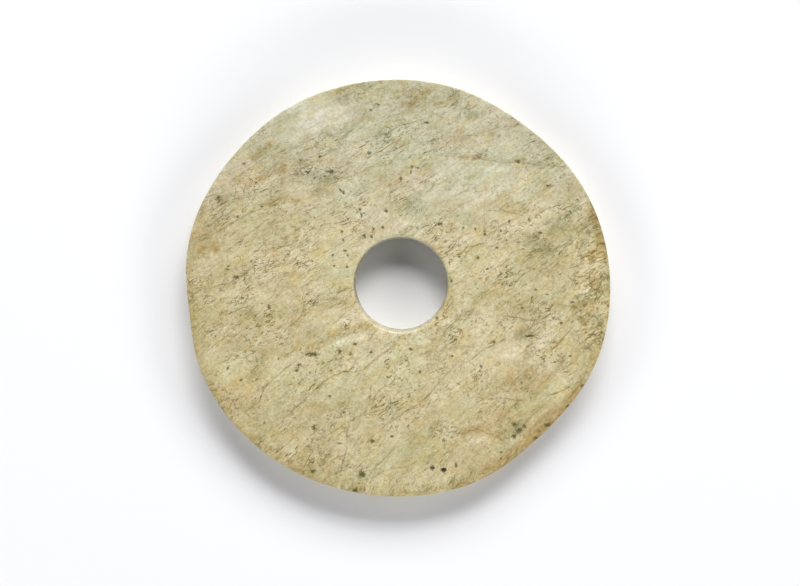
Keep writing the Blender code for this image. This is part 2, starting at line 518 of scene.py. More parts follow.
# %% [markdown]
# Some marks are this disc's own: long cracks that follow the layers, dark spots, and stains. They can't
# come from even noise, so they are laid on the mesh as numbers that the material reads. A crack is kept
# as the distance from its line, because a distance stays true between the mesh's points, and so draws a
# line finer than the faces.

# %% The long cracks
STRONG_CRACKS = (
    ((206, 290), (220, 285), (232, 282), (238, 278), (248, 271), (257, 261), (263, 257)),
    ((548, 354), (560, 342), (570, 330), (577, 323)),
    ((397, 349), (387, 350), (378, 356), (362, 371), (344, 372), (328, 378), (306, 398), (288, 415),
        (273, 430)),
    ((303, 357), (289, 366), (271, 380), (263, 392), (259, 402), (243, 413)),
    ((390, 422), (405, 412), (421, 403), (432, 390), (441, 380), (460, 360)),
    ((466, 364), (478, 354), (486, 348), (496, 344), (508, 338)),
    ((439, 338), (450, 326), (460, 316), (470, 313)),
    ((508, 310), (520, 304), (534, 299), (545, 293)),
    ((556, 296), (566, 284), (576, 277), (590, 275)),
    ((300, 152), (312, 148), (320, 142), (327, 137), (340, 137)),
    ((310, 310), (324, 310), (338, 304), (346, 300)),
    ((320, 300), (332, 299), (340, 292), (350, 286)),
    ((329, 328), (338, 320), (346, 312)),
    ((419, 239), (428, 232), (438, 225), (446, 219)),
    ((444, 254), (453, 249), (461, 241)),
    ((463, 248), (475, 246), (486, 243)),
    ((281, 330), (288, 327), (296, 321)),
    ((398, 154), (404, 150)),
    ((500, 201), (512, 196)),
    ((543, 397), (556, 393), (566, 388), (575, 383)),
    ((581, 255), (589, 256), (596, 258), (608, 256)),
    ((599, 213), (592, 222), (584, 229), (580, 233), (574, 232)),
    ((371, 384), (369, 403), (365, 413), (351, 420), (347, 431), (347, 448), (341, 467), (341, 479)),
)
FINE_CRACKS = (
    ((207, 194), (220, 188), (232, 181), (250, 169), (262, 160), (273, 154)),
    ((197, 243), (219, 231), (250, 213), (268, 207)),
    ((188, 287), (207, 272), (221, 261)),
    ((240, 239), (250, 233), (257, 228), (264, 222), (272, 216), (281, 210)),
    ((251, 195), (264, 191), (275, 186)),
    ((270, 302), (275, 290), (280, 282), (288, 273)),
    ((298, 213), (320, 207), (337, 202)),
    ((346, 135), (350, 132), (355, 128)),
    ((351, 198), (361, 194), (371, 188)),
    ((388, 206), (404, 198), (414, 195)),
    ((448, 198), (460, 194), (472, 188)),
    ((483, 204), (484, 219), (484, 234)),
    ((484, 242), (490, 233), (503, 229)),
    ((371, 335), (369, 345), (367, 362)),
    ((318, 483), (330, 476), (342, 470), (355, 465)),
    ((401, 416), (388, 423), (376, 433), (364, 445)),
    ((397, 446), (388, 455), (376, 466), (366, 480)),
    ((373, 477), (386, 470), (400, 468), (412, 464), (421, 459)),
    ((518, 289), (530, 282)),
    ((556, 308), (571, 306)),
    ((549, 253), (562, 245), (571, 244), (581, 233)),
    ((587, 227), (590, 222), (595, 218), (598, 215)),
    ((573, 239), (568, 247)),
    ((606, 265), (600, 270)),
    ((581, 272), (594, 273)),
    ((533, 400), (541, 389)),
    ((450, 490), (452, 482), (457, 469)),
    ((470, 453), (478, 444)),
    ((253, 349), (262, 343), (276, 338), (290, 339)),
    ((222, 310), (232, 303), (248, 298), (262, 296)),
    ((205, 330), (222, 324), (240, 322)),
    ((236, 352), (228, 360), (214, 366)),
    ((500, 420), (512, 407), (528, 396)),
    ((455, 420), (468, 408), (484, 398), (500, 392)),
    ((300, 452), (312, 442), (330, 434), (344, 424)),
    ((560, 330), (572, 316), (588, 306), (604, 300)),
    ((430, 295), (446, 290), (462, 280)),
    ((470, 300), (488, 290), (504, 278), (520, 268)),
    ((320, 255), (334, 248), (346, 240)),
    ((288, 262), (300, 256), (316, 250)),
    ((404, 228), (418, 218), (430, 208)),
    ((330, 184), (346, 178), (362, 172), (384, 160)),
    ((530, 196), (548, 188), (560, 184)),
)
BROWN_CRACKS = (
    ((390, 154), (402, 146), (412, 143), (430, 142), (438, 139), (446, 138), (455, 137)),
    ((455, 137), (475, 135), (487, 131), (500, 127), (515, 127), (526, 124)),
    ((265, 178), (273, 176), (282, 168)),
    ((254, 158), (262, 152), (268, 146), (274, 141)),
    ((248, 185), (256, 181), (264, 179)),
    ((484, 211), (502, 211), (516, 214), (527, 217)),
    ((432, 156), (460, 157), (481, 159), (501, 163), (518, 163), (537, 165), (568, 167)),
    ((470, 396), (490, 399), (505, 398), (527, 402)),
    ((462, 432), (478, 429), (495, 436), (512, 446)),
    ((500, 315), (520, 318), (540, 323), (550, 326)),
    ((548, 400), (536, 412), (527, 421), (513, 436), (499, 441)),
)
EDGE_CRACKS = (
    ((540, 260), (552, 252), (566, 244), (578, 233), (590, 222)),
    ((572, 263), (580, 257), (588, 257), (590, 264), (598, 262), (607, 257)),
    ((566, 270), (574, 267), (582, 264)),
    ((576, 286), (584, 280), (592, 276)),
    ((592, 290), (598, 280), (604, 272), (608, 270)),
    ((586, 302), (585, 290), (588, 284), (600, 276)),
    ((552, 304), (562, 305), (570, 306), (580, 310), (588, 308)),
    ((578, 322), (580, 314), (586, 310), (590, 302)),
    ((588, 320), (594, 314), (602, 310)),
    ((580, 330), (588, 328), (598, 326), (607, 322)),
    ((586, 338), (592, 334), (600, 338), (604, 330)),
    ((570, 386), (580, 382), (588, 372), (594, 368)),
    ((566, 302), (576, 298), (586, 294), (596, 290), (608, 284)),
    ((540, 318), (548, 310), (554, 302), (560, 298)),
    ((594, 256), (600, 252), (607, 250)),
    ((590, 240), (596, 236), (601, 230)),
    ((592, 248), (600, 244), (605, 242)),
    ((588, 346), (594, 342), (601, 344)),
    ((576, 352), (584, 346), (590, 350), (598, 352)),
)
CRACK_REACH = 1.9
CRACK_TAPER = 3.5
NO_CRACK = 9.0
CRACK_KINDS = (
    (STRONG_CRACKS, 1.0, 0.45),
    (FINE_CRACKS, 0.66, 0.50),
    (BROWN_CRACKS, 0.8, 1.0),
    (EDGE_CRACKS, 0.9, 0.3),
)

# %% [markdown]
# Where two cracks meet, a point lies near both, and one number can't hold two distances. So there are
# two fields, and each crack goes to the one where it meets fewer others.

# %% Each point's distance from its crack
x, y, z = points_of(stone).T
shows = on_upper_part(z)


def crack_field():
    """Every point's distance from its crack, the crack's strength there and how brown it is."""
    offset = np.full(x.shape, NO_CRACK)
    return {"offset": offset, "strength": np.zeros(x.shape), "brown": np.zeros(x.shape)}


fields = [crack_field(), crack_field()]
for cracks, strength, brown in CRACK_KINDS:
    for line in cracks:
        line_x, line_y = np.transpose([on_face(*corner) for corner in line])
        spread = 3.0 * CRACK_REACH
        near = (x > line_x.min() - spread) & (x < line_x.max() + spread)
        near &= (y > line_y.min() - spread) & (y < line_y.max() + spread)
        near = np.flatnonzero(near)
        offset, along, length = beside(x[near], y[near], line)
        share = strength * tapered(along, length, min(CRACK_TAPER, 0.3 * length))
        share *= smooth(CRACK_REACH, 0.7 * CRACK_REACH, np.abs(offset))
        clashes = [np.sum((field["strength"][near] > 0.0) & (share > 0.0)) for field in fields]
        field = fields[int(clashes[1] < clashes[0])]
        picked = np.abs(offset) < np.abs(field["offset"][near])
        nearer = near[picked]
        field["strength"][nearer] = share[picked]
        field["offset"][nearer] = offset[picked]
        field["brown"][nearer] = brown


def keep_on_mesh(piece, name, *columns):
    """Stores three numbers for each point of a piece, for its material to read."""
    layer = piece.data.attributes.new(name, "FLOAT_VECTOR", "POINT")
    layer.data.foreach_set("vector", np.column_stack(columns).astype(np.float32).ravel())


for name, field in zip(("crack_a", "crack_b"), fields):
    keep_on_mesh(stone, name, field["offset"], field["strength"] * shows, field["brown"])
    print(name, "covers", int((field["strength"] > 0.0).sum()), "points")

# %% [markdown]
# Grains of a dark mineral sit in the stone, mostly a millimetre wide, some drawn out along the layers.
# Painting each would need a mesh finer than the spots. Instead each point keeps its place relative to
# the nearest spot, right and up, and the material draws the spot's edge from that.

# %% The dark spots
DARK_SPOTS = (
    (*PIT_PLACES[0], 3.0, 2.6), (*PIT_PLACES[1], 2.4, 2.2), (219, 198, 1.9, 2.2), (269, 307, 2.1, 2.6),
    (331, 172, 5, 1.6), (401, 179, 1.6, 2.3), (312, 354, 7, 2.2), (299, 365, 2.2, 1.8),
    (297, 370.5, 1.6, 1.6), (340, 351, 2.1, 1.8), (351, 354, 2.1, 1.8), (355, 344, 2.2, 1.6),
    (371, 352, 1.7, 1.4), (343.6, 412, 1.7, 1.6), (372, 441, 3.2, 2), (340, 443, 3, 1.1),
    (362, 474, 3.4, 3), (355, 490, 3, 2.4), (514, 424, 2.6, 2), (519, 430, 3, 2), (524, 426, 2.4, 2),
    (514, 436, 2.4, 2.2), (547, 425, 3, 2), (568, 406, 2.4, 1.8), (536, 438, 2.2, 1.6),
    (583, 386, 3.4, 1.8), (501, 452, 1.4, 1.2), (386, 211, 2.2, 2), (369, 154, 2.2, 1.2),
    (484.5, 234, 1.8, 2.6), (501, 231, 1.6, 1.4), (497, 248, 1.5, 1.3), (364.4, 236.5, 2.1, 2.4),
    (373.5, 229.4, 1.6, 2), (371.5, 237, 1.5, 2.2), (342, 232, 1.6, 1.4), (343.4, 240.5, 1.3, 1.8),
    (345.6, 250.8, 2, 1.2), (348, 255.5, 1.5, 1.3), (333, 255, 1.5, 1.3), (347, 267, 1.6, 1.3),
    (334, 266, 1.4, 1.2), (383, 228, 1.5, 1.8), (360, 210, 1.6, 1.4), (361.5, 215, 1.2, 2),
    (529, 336, 5.5, 1.4), (494, 342, 1.8, 1.4), (561, 323, 1.6, 1.4), (522, 308, 1.5, 1.2),
    (570, 356, 1.5, 1.3), (487, 269, 1.5, 1.2), (478, 258, 1.4, 1.2), (459, 257, 1.4, 1.1),
    (451, 281, 1.8, 1.4), (540, 233, 1.9, 1.5), (529, 220, 2, 2), (475, 229, 1.3, 1.6),
    (509, 222, 1.4, 2), (440, 224, 3, 1.4), (262, 207, 1.5, 1.3), (238, 217, 1.4, 1.3),
    (340, 190, 1.6, 1.2), (343.5, 193, 1.4, 1.6), (307, 172, 2.4, 1.3), (320, 157, 1.6, 1.3),
    (244, 164, 1.7, 1.4), (371, 110, 1.4, 1.2), (378, 105, 1.4, 1.2), (412, 167, 1.5, 1.3),
    (418, 168, 1.3, 1.1), (411, 172, 1.1, 1.6), (427, 123, 2.2, 1.4), (518, 161.5, 3, 1.6),
    (236, 277, 3, 1.8), (228, 269, 2, 1.6), (243, 298, 1.6, 1.2), (253, 351, 1.5, 1.3),
    (241, 380, 1.5, 1.2), (228, 368, 1.7, 1.4), (229, 266, 1.6, 1.2), (313, 471, 3, 2),
    (456, 465, 1.6, 2.4), (314, 427, 1.4, 2.4), (411, 349, 2.2, 1.6), (452, 356, 1.4, 1.2),
    (481, 366, 1.3, 1.2), (437, 318, 1.2, 1.8), (392, 436, 1.5, 1.2), (577, 200, 1.8, 1.2),
    (570, 212, 1.4, 1.2), (455, 340, 1.5, 1.2), (572, 302, 2.4, 1.2), (330, 396, 1.4, 1.1),
    (420, 372, 1.3, 1.8), (388, 377, 1.4, 1.1), (548, 186, 3, 1.4), (560, 178, 1.6, 1.2),
    (463, 228, 1.3, 1.5),
)

# %% [markdown]
# Between two spots the nearest one changes at once, which would tear the picture there, so the
# strength falls to nothing before that line.

# %% Each point's place on its spot
SPOT_REACH = 2.4
SPOT_SPREAD = 1.2
NO_SPOT = 99.0
PIT_SHADES = ((*PIT_PLACES[0], 4, 4, 0.9), (*PIT_PLACES[1], 3, 3, 0.5))
spot_x, spot_y, spot_share = np.zeros(x.shape), np.zeros(x.shape), np.zeros(x.shape)
nearest, second = np.full(x.shape, NO_SPOT), np.full(x.shape, NO_SPOT)
for px, py, *reach in DARK_SPOTS:
    middle_x, middle_y = on_face(px, py)
    reach_x, reach_y = [SPOT_SPREAD * each for each in reach]
    off_x, off_y = (x - middle_x) / (reach_x * PIXEL), (y - middle_y) / (reach_y * PIXEL)
    gap = np.hypot(x - middle_x, y - middle_y)
    nearer = gap < nearest
    second = np.where(nearer, nearest, np.minimum(second, gap))
    nearest = np.where(nearer, gap, nearest)
    spot_x, spot_y = np.where(nearer, off_x, spot_x), np.where(nearer, off_y, spot_y)
    far = max(SPOT_REACH, 1.5 * max(reach_x, reach_y) * PIXEL)
    spot_share = np.where(nearer, smooth(far, 0.75 * far, gap), spot_share)
spot_share *= smooth(0.1, 0.8, second - nearest) * on_top
spot_share *= 1.0 + in_patches(x, y, PIT_SHADES)
keep_on_mesh(stone, "spot", spot_x, spot_y, spot_share)
print("spots cover", int((spot_share > 0.0).sum()), "points")

# %% [markdown]
# Minerals in the ground left green and brown stains, and wear left pale chalky places. Some pale places
# are painted highlights: the band below the saw ledge at the upper right and the hole's lower lip, where
# the face turns to the light. Stains have soft edges, so a number on each point is enough. The material
# tears their edges with noise later, because real stains follow the grain.

# %% The stains, pale places and painted highlights
GREEN_STAINS = (
    (322, 178, 17, 10, 0.9), (320, 192, 12, 6, 0.8), (413, 206, 13, 11, 0.7),
    (558, 224, 18, 11, 0.6), (526, 335, 14, 6, 0.7), (465, 349, 5, 6, 0.8), (432, 430, 4, 3, 1.0),
    (429, 460, 7, 6, 0.7), (443, 445, 3, 3, 0.6), (343, 100, 7, 9, 0.6), (381, 135, 12, 12, 0.55),
    (454, 96, 7, 6, 0.7), (471, 114, 9, 7, 0.6), (393, 407, 9, 8, 0.7), (474, 468, 6, 9, 0.6),
    (540, 248, 13, 7, 0.7), (527, 240, 7, 10, 0.5), (262, 358, 7, 5, 0.5), (575, 208, 6, 4, 0.9),
    (518, 428, 9, 7, 0.9, 30), (312, 354, 9, 4, 0.6), (361, 475, 6, 6, 0.7), (297, 174, 5, 5, 0.5),
    (425, 133, 30, 8, 0.3, 20), (500, 137, 14, 5, 0.35), (330, 425, 12, 10, 0.3),
    (418, 195, 10, 4, 0.5, 20), (352, 442, 10, 5, 0.35), (386, 452, 9, 6, 0.4),
    (364, 350, 12, 5, 0.3), (597, 322, 8, 8, 0.6), (582, 298, 9, 5, 0.5), (590, 350, 7, 9, 0.5),
    (586, 228, 8, 7, 0.5),
)
BROWN_STAINS = (
    (263, 150, 10, 5, 0.6, 40), (250, 184, 8, 3, 0.6, 20), (282, 181, 3, 6, 0.7),
    (270, 204, 7, 5, 0.6), (296, 202, 6, 3, 0.7, 10), (259, 373, 15, 10, 0.5, 40),
    (292, 236, 12, 7, 0.4, 20), (216, 247, 4, 10, 0.55), (409, 104, 11, 4, 0.6),
    (437, 104, 9, 4, 0.55), (529, 371, 9, 6, 0.7, 30), (472, 430, 18, 5, 0.6, 10),
    (515, 384, 18, 5, 0.5), (578, 306, 10, 6, 0.7, 20), (590, 306, 6, 14, 0.6),
    (585, 330, 8, 8, 0.5), (603, 238, 9, 28, 1.0, 8), (597, 217, 8, 15, 1.0, 30),
    (598, 254, 11, 8, 0.9), (516, 208, 18, 8, 0.5), (350, 330, 30, 6, 0.6, 15),
    (318, 345, 16, 5, 0.6, 20), (340, 302, 30, 7, 0.4, 10), (445, 305, 14, 9, 0.5),
    (230, 200, 16, 12, 0.35), (205, 240, 10, 16, 0.35), (202, 330, 8, 16, 0.4),
    (215, 370, 10, 16, 0.3), (470, 158, 22, 3, 0.6), (530, 382, 36, 10, 0.35, 15),
    (420, 350, 22, 7, 0.35), (482, 300, 14, 8, 0.35), (456, 140, 30, 3, 0.4, 8),
    (200, 208, 8, 10, 0.35), (560, 300, 12, 30, 0.25, -40), (597, 284, 9, 16, 0.55),
    (589, 342, 11, 10, 0.5), (583, 318, 6, 8, 0.8), (268, 146, 9, 4, 1.0, 40),
    (258, 155, 9, 4, 0.95, 45), (259, 180, 14, 4, 0.95, 22), (283, 168, 4, 10, 0.9, -15),
)
# Pale chalky patches, and painted highlights among them: the band below the saw ledge and the hole's
# lower lip.
PALE_PATCHES_AND_HIGHLIGHTS = (
    (400, 112, 12, 7, 0.5), (458, 166, 9, 3, 0.8), (490, 169, 32, 4, 0.7, -4),
    (527, 172, 18, 5, 0.4), (478, 318, 9, 4, 0.9), (440, 322, 24, 5, 0.5),
    (365, 337, 15, 3.5, 0.8, 12), (342, 342, 14, 3, 0.6, 15), (478, 441, 20, 5, 0.6),
    (402, 334, 30, 4, 0.8), (588, 197, 12, 8, 0.5), (508, 227, 15, 9, 0.6),
    (556, 316, 14, 9, 0.5, 40), (546, 336, 8, 22, 0.4, -45), (512, 350, 16, 12, 0.6),
    (262, 268, 12, 16, 0.45), (464, 240, 12, 5, 0.6, 20), (380, 243, 14, 6, 0.3),
    (412, 226, 12, 5, 0.5), (296, 335, 12, 10, 0.4), (232, 334, 12, 8, 0.35),
    (340, 375, 26, 8, 0.4, 30), (226, 374, 8, 4, 0.6), (588, 292, 10, 6, 0.5, 20),
    (214, 260, 8, 8, 0.3), (440, 112, 10, 6, 0.3), (383, 110, 8, 6, 0.3),
    (350, 318, 14, 5, 0.35, 35), (470, 330, 26, 6, 0.4, 10), (504, 396, 16, 5, 0.35),
    (311, 120, 20, 12, 0.80, 10), (294, 109, 15, 9, 0.65, 25), (336, 118, 20, 10, 0.4),
    (400, 468, 18, 9, 0.3),
)

# %% [markdown]
# The ground slope, the flaking edge and the ochre that gathers along the rim are found by place. The
# calm parts are smooth and nearly free of scratches, as the best of the stone is.

# %% Stains, worn and calm places
bearing = np.degrees(np.arctan2(y, x))
from_rim = rim_radius(bearing) - np.hypot(x, y)
ground_slope = smooth(0.0, 0.35, slope_drop(bearing, from_rim))
green = in_patches(x, y, GREEN_STAINS) * shows
ochre_rim = 0.5 * smooth(8.0, 0.0, from_rim) * smooth(40.0, -10.0, y)
brown = np.maximum(in_patches(x, y, BROWN_STAINS), ochre_rim) * shows
# The pale patches include painted highlights, below the saw ledge and on the hole's lower lip.
pale = in_patches(x, y, PALE_PATCHES_AND_HIGHLIGHTS) * shows
keep_on_mesh(stone, "stain_and_highlight", green, brown, pale)
CALM_PATCHES = (
    (305, 118, 46, 24, 0.9, 25), (265, 285, 14, 18, 0.6), (508, 352, 18, 12, 0.8),
    (232, 372, 22, 14, 0.6), (480, 172, 52, 14, 0.7), (335, 388, 26, 12, 0.5, 35),
    (548, 336, 10, 24, 0.6, -45), (400, 112, 26, 12, 0.4), (318, 402, 18, 16, 0.6, 30),
    (420, 475, 30, 10, 0.5), (470, 455, 16, 14, 0.6), (345, 455, 20, 10, 0.5),
    (455, 405, 22, 12, 0.4, 35), (220, 255, 10, 14, 0.5), (536, 412, 30, 14, 0.5, 40),
    (585, 362, 14, 20, 0.3),
)
calm = in_patches(x, y, CALM_PATCHES)
keep_on_mesh(stone, "wear", ground_slope * on_top, flaking, calm)

# %% [markdown]
# Over a few centimetres the stone is lighter here and darker there, smooth in some parts and scratched
# in others, and turns a little redder or greener. These broad changes carry the likeness more than any
# single mark, so they are kept apart from the stains.

# %% Broad lighter and darker parts
LIGHTER_PARTS = (
    (322, 112, 34, 22, 0.20), (500, 190, 48, 28, 0.12), (337, 222, 26, 20, 0.12),
    (330, 385, 26, 18, 0.08, 30), (522, 150, 26, 14, 0.16), (395, 142, 54, 18, 0.16),
    (592, 308, 18, 50, 0.20), (376, 368, 26, 30, 0.15), (530, 212, 34, 18, 0.12),
    (262, 268, 16, 20, 0.06), (596, 306, 12, 20, 0.26), (250, 302, 18, 14, 0.12),
    (582, 300, 18, 26, 0.16), (601, 268, 9, 26, 0.24), (520, 396, 18, 12, 0.11),
    (260, 400, 16, 12, 0.06),
)
DARKER_PARTS = (
    (508, 384, 30, 22, 0.24), (547, 265, 26, 22, 0.18), (508, 305, 24, 20, 0.12),
    (318, 462, 38, 20, 0.14), (490, 460, 36, 20, 0.10), (204, 232, 22, 38, 0.20),
    (421, 425, 24, 20, 0.09), (421, 100, 36, 16, 0.20), (421, 215, 22, 16, 0.08),
    (300, 285, 24, 22, 0.08), (505, 325, 26, 18, 0.08), (206, 316, 18, 30, 0.05),
    (316, 378, 24, 16, 0.05), (556, 422, 30, 26, 0.12), (214, 266, 20, 22, 0.14),
    (545, 300, 30, 26, 0.05), (520, 415, 44, 26, 0.17), (456, 456, 26, 14, 0.14),
    (215, 345, 20, 16, 0.10), (455, 215, 24, 16, 0.10), (250, 414, 22, 18, 0.10),
    (275, 332, 50, 38, 0.16), (270, 160, 22, 18, 0.08), (536, 430, 26, 14, 0.16),
    (408, 466, 26, 14, 0.05), (240, 342, 20, 16, 0.22), (562, 300, 18, 18, 0.10),
)
ROUGH_PARTS = (
    (262, 322, 50, 26, 1.0, 20), (300, 300, 30, 14, 0.8, 20), (248, 412, 22, 18, 0.9, 35),
    (300, 345, 30, 10, 0.8, 10), (500, 394, 36, 14, 0.7), (590, 280, 26, 70, 0.6),
    (357, 212, 24, 22, 0.7, 30), (385, 140, 22, 26, 0.6), (560, 225, 34, 16, 0.6, 10),
    (330, 462, 30, 12, 0.8), (470, 300, 34, 22, 0.6, 20), (300, 180, 36, 14, 0.7, 10),
    (396, 395, 50, 14, 0.6, 30), (222, 212, 16, 20, 0.6), (445, 225, 26, 14, 0.5, 20),
    (530, 240, 24, 12, 0.6), (262, 290, 66, 66, 0.5), (535, 290, 60, 66, 0.6),
)
light_or_dark = (in_patches(x, y, LIGHTER_PARTS) - in_patches(x, y, DARKER_PARTS)) * shows
rough = in_patches(x, y, ROUGH_PARTS) * shows
keep_on_mesh(stone, "shade", light_or_dark, rough, wall_share)

# %% [markdown]
# The hole's lower wall is marked too. It is seen against the pale floor through the hole. The material
# paints it darker and bluer, and the other walls a little darker and cooler: painted shade, which keeps
# the shadow in the hole a neutral grey.

# %% Warmer and greener parts, and painted shade on the wall of the hole
WARMER_PARTS = (
    (238, 172, 30, 24, 0.7), (248, 388, 28, 26, 0.8), (585, 402, 26, 24, 0.9),
    (545, 425, 34, 24, 0.9), (480, 465, 40, 18, 0.7), (590, 250, 14, 40, 0.5),
    (300, 470, 26, 14, 0.4), (492, 420, 34, 20, 0.8), (508, 385, 40, 26, 0.4),
    (254, 226, 36, 30, 0.5), (206, 225, 20, 34, 0.4), (420, 180, 26, 16, 0.4),
    (400, 478, 40, 14, 0.2),
)
GREENER_PARTS = (
    (336, 262, 24, 34, 0.8), (332, 348, 34, 24, 0.8), (378, 350, 26, 22, 0.7),
    (335, 388, 50, 22, 1.0, 20), (350, 400, 30, 16, 0.6), (320, 135, 30, 20, 0.5),
    (455, 170, 26, 18, 0.5), (560, 215, 26, 18, 0.6), (424, 100, 60, 20, 0.8),
    (556, 236, 40, 24, 0.6), (500, 180, 60, 24, 0.4), (450, 262, 22, 16, 0.5),
    (520, 150, 36, 26, 0.6), (562, 300, 24, 22, 0.7), (400, 470, 28, 14, 0.7),
)
warm_or_green = (in_patches(x, y, WARMER_PARTS) - in_patches(x, y, GREENER_PARTS)) * shows
bore_shade = smooth(10.8, 7.6, z) * wall_share * near_bore(x, y)
keep_on_mesh(stone, "hue", warm_or_green, bore_shade, np.zeros(x.shape))

# %% [markdown]
# The material is written as short formulas, so each node is made by a small helper that gives back its
# output, and a formula reads like a line of arithmetic.

# %% Helpers that write a material
class Recipe:
    """Adds nodes to one material. Each method gives back the new node's output."""

    def __init__(self, name):
        self.material = bpy.data.materials.new(name)
        self.material.use_nodes = True
        self.tree = self.material.node_tree
        self.shader = self.tree.nodes["Principled BSDF"]

    def node(self, kind, inputs, output=0, **settings):
        made = self.tree.nodes.new(kind)
        for setting, value in settings.items():
            setattr(made, setting, value)
        for socket, value in inputs.items():
            self.feed(made.inputs[socket], value)
        return made.outputs[output]

    def feed(self, socket, value):
        if isinstance(value, bpy.types.NodeSocket):
            self.tree.links.new(value, socket)
        else:
            socket.default_value = value

    def math(self, operation, first, second=0.0, third=0.0):
        return self.node("ShaderNodeMath", {0: first, 1: second, 2: third}, operation=operation)

    def total(self, *terms):
        """The sum of several (value, weight) pairs."""
        result = 0.0
        for value, weight in terms:
            result = self.math("MULTIPLY_ADD", value, weight, result)
        return result

    def product(self, first, *others):
        for other in others:
            first = self.math("MULTIPLY", first, other)
        return first

    def ramp(self, value, low, high, at_low=0.0, at_high=1.0):
        """Goes evenly from at_low to at_high while the value goes from low to high."""
        inputs = {0: value, 1: low, 2: high, 3: at_low, 4: at_high}
        return self.node("ShaderNodeMapRange", inputs, interpolation_type="SMOOTHSTEP")

    def place(self, vector, scale, shift=0.0):
        inputs = {0: vector, 1: scale, 2: (shift, shift * 0.7, shift * 0.4)}
        return self.node("ShaderNodeVectorMath", inputs, operation="MULTIPLY_ADD")

    def moved(self, vector, step):
        return self.node("ShaderNodeVectorMath", {0: vector, 1: step}, operation="ADD")

    def bent(self, vector, waves, reach):
        """A place moved by coloured noise, as far each way as reach says."""
        inputs = {0: waves, 1: reach, 2: vector}
        return self.node("ShaderNodeVectorMath", inputs, operation="MULTIPLY_ADD")

    def noise(self, vector, detail=2.0, roughness=0.5, output="Fac"):
        inputs = {"Vector": vector, "Scale": 1.0, "Detail": detail, "Roughness": roughness}
        return self.node("ShaderNodeTexNoise", inputs, output)

    def split(self, vector):
        parts = self.node("ShaderNodeSeparateXYZ", {0: vector}).node
        return parts.outputs[0], parts.outputs[1], parts.outputs[2]

    def blend(self, share, first, second):
        inputs = {0: share, 6: first, 7: second}
        return self.node("ShaderNodeMix", inputs, 2, data_type="RGBA", clamp_factor=False)

    def tint(self, share, colour, tint):
        inputs = {0: share, 6: colour, 7: tint}
        return self.node("ShaderNodeMix", inputs, 2, data_type="RGBA", blend_type="MULTIPLY")

    def on_mesh(self, name):
        """The three numbers that the mesh keeps under a name."""
        return self.split(self.node("ShaderNodeAttribute", {}, "Vector", attribute_name=name))


# %% [markdown]
# Colours are named as they look in the photograph, from 0 to 255. The light adds a little to them, and
# the polish a thin grey veil, so both are taken off again to find the colour of the stone itself.

# %% The colours of the stone
LIGHT_ON_FACE = 1.03
POLISH_VEIL = 0.016


def seen(red, green, blue):
    linear = [((level / 255 + 0.055) / 1.055) ** 2.4 for level in (red, green, blue)]
    return tuple(max(level / LIGHT_ON_FACE - POLISH_VEIL, 0.004) for level in linear) + (1.0,)


OLIVE = seen(169, 152, 101)
CREAM = seen(233, 221, 183)
CRACK = seen(104, 88, 38)
BROWN_CRACK = seen(133, 102, 46)
SPECK = seen(85, 79, 35)
PIT_BOTTOM = seen(92, 62, 20)
GREEN_TINT = (0.72, 0.75, 0.70, 1.0)
RUST_TINT = (0.78, 0.69, 0.50, 1.0)
# Whitens the pale chalky patches and the painted highlights.
CHALK_AND_HIGHLIGHT_TINT = (1.14, 1.17, 1.34, 1.0)
MOSS_TINT = (0.93, 0.98, 0.95, 1.0)
EARTH_TINT = (1.01, 0.95, 0.82, 1.0)
WARM_TINT = (1.03, 0.988, 0.955, 1.0)
LEAF_TINT = (0.965, 1.005, 1.0, 1.0)
FLAKE_TINT = (0.975, 0.97, 0.83, 1.0)
# Painted shade: the walls darker and cooler, and the hole's lower wall darker and bluer still.
WALL_SHADE_TINT = (0.84, 0.85, 0.92, 1.0)
BORE_SHADE_TINT = (0.77, 0.83, 1.0, 1.0)
COOL_TINT = (0.90, 0.95, 1.08, 1.0)

# %% [markdown]
# Nephrite grew under pressure in thin layers, and this slab cuts them at a low angle. Every pattern in
# it, the mottling, the streaks and the cracks, is drawn out along one set of lines that climbs to the
# right and steepens towards the lower edge. So the patterns share one bent set of axes: along the
# layers, and across them.

# %% The axes of the layers
RUN_RIGHT, RUN_UP = 0.835, 0.55
jade = Recipe("jade")
metres = jade.node("ShaderNodeTexCoord", {}, "Object")
here = jade.place(metres, (1000.0, 1000.0, 1000.0))
face_x, face_y, face_z = jade.split(here)
along_layers = jade.total((face_x, RUN_RIGHT), (face_y, RUN_UP))
upwards, sideways = jade.math("MULTIPLY", face_y, face_y), jade.math("MULTIPLY", face_x, face_x)
bend = jade.total((upwards, 0.00152), (sideways, -0.0004))
across_layers = jade.total((face_x, -RUN_UP), (face_y, RUN_RIGHT), (face_z, 0.4), (bend, 1.0))
straight = jade.node("ShaderNodeCombineXYZ", {0: along_layers, 1: across_layers, 2: face_z})
drift = jade.noise(jade.place(here, (1 / 17, 1 / 17, 1 / 17)), 2.0, 0.5, "Color")
layers = jade.bent(straight, drift, (6.0, 6.5, 2.0))


def drawn_out(along, across, seed, detail=2.0, roughness=0.5, aside=0.0):
    """Noise with waves of these millimetres along the layers and across them, read aside by so much."""
    place = jade.place(layers, (1 / along, 1 / across, 1 / across), seed)
    if aside:
        place = jade.moved(place, (0.0, aside / across, 0.0))
    return jade.noise(place, detail, roughness)


def even(size, seed, detail=2.0, roughness=0.5, aside=0.0):
    """Noise with waves of these millimetres every way, read aside by so much."""
    place = jade.place(here, (1 / size, 1 / size, 1 / size), seed)
    if aside:
        place = jade.moved(place, (0.6 * aside / size, 0.8 * aside / size, 0.0))
    return jade.noise(place, detail, roughness)


# %% [markdown]
# Old nephrite is never one colour. It is cloudy over centimetres, mottled over millimetres, streaked
# along its layers and grainy at last. Noises of five sizes are added up, and the sum picks a place
# between two colours, so all sizes belong to one stone.

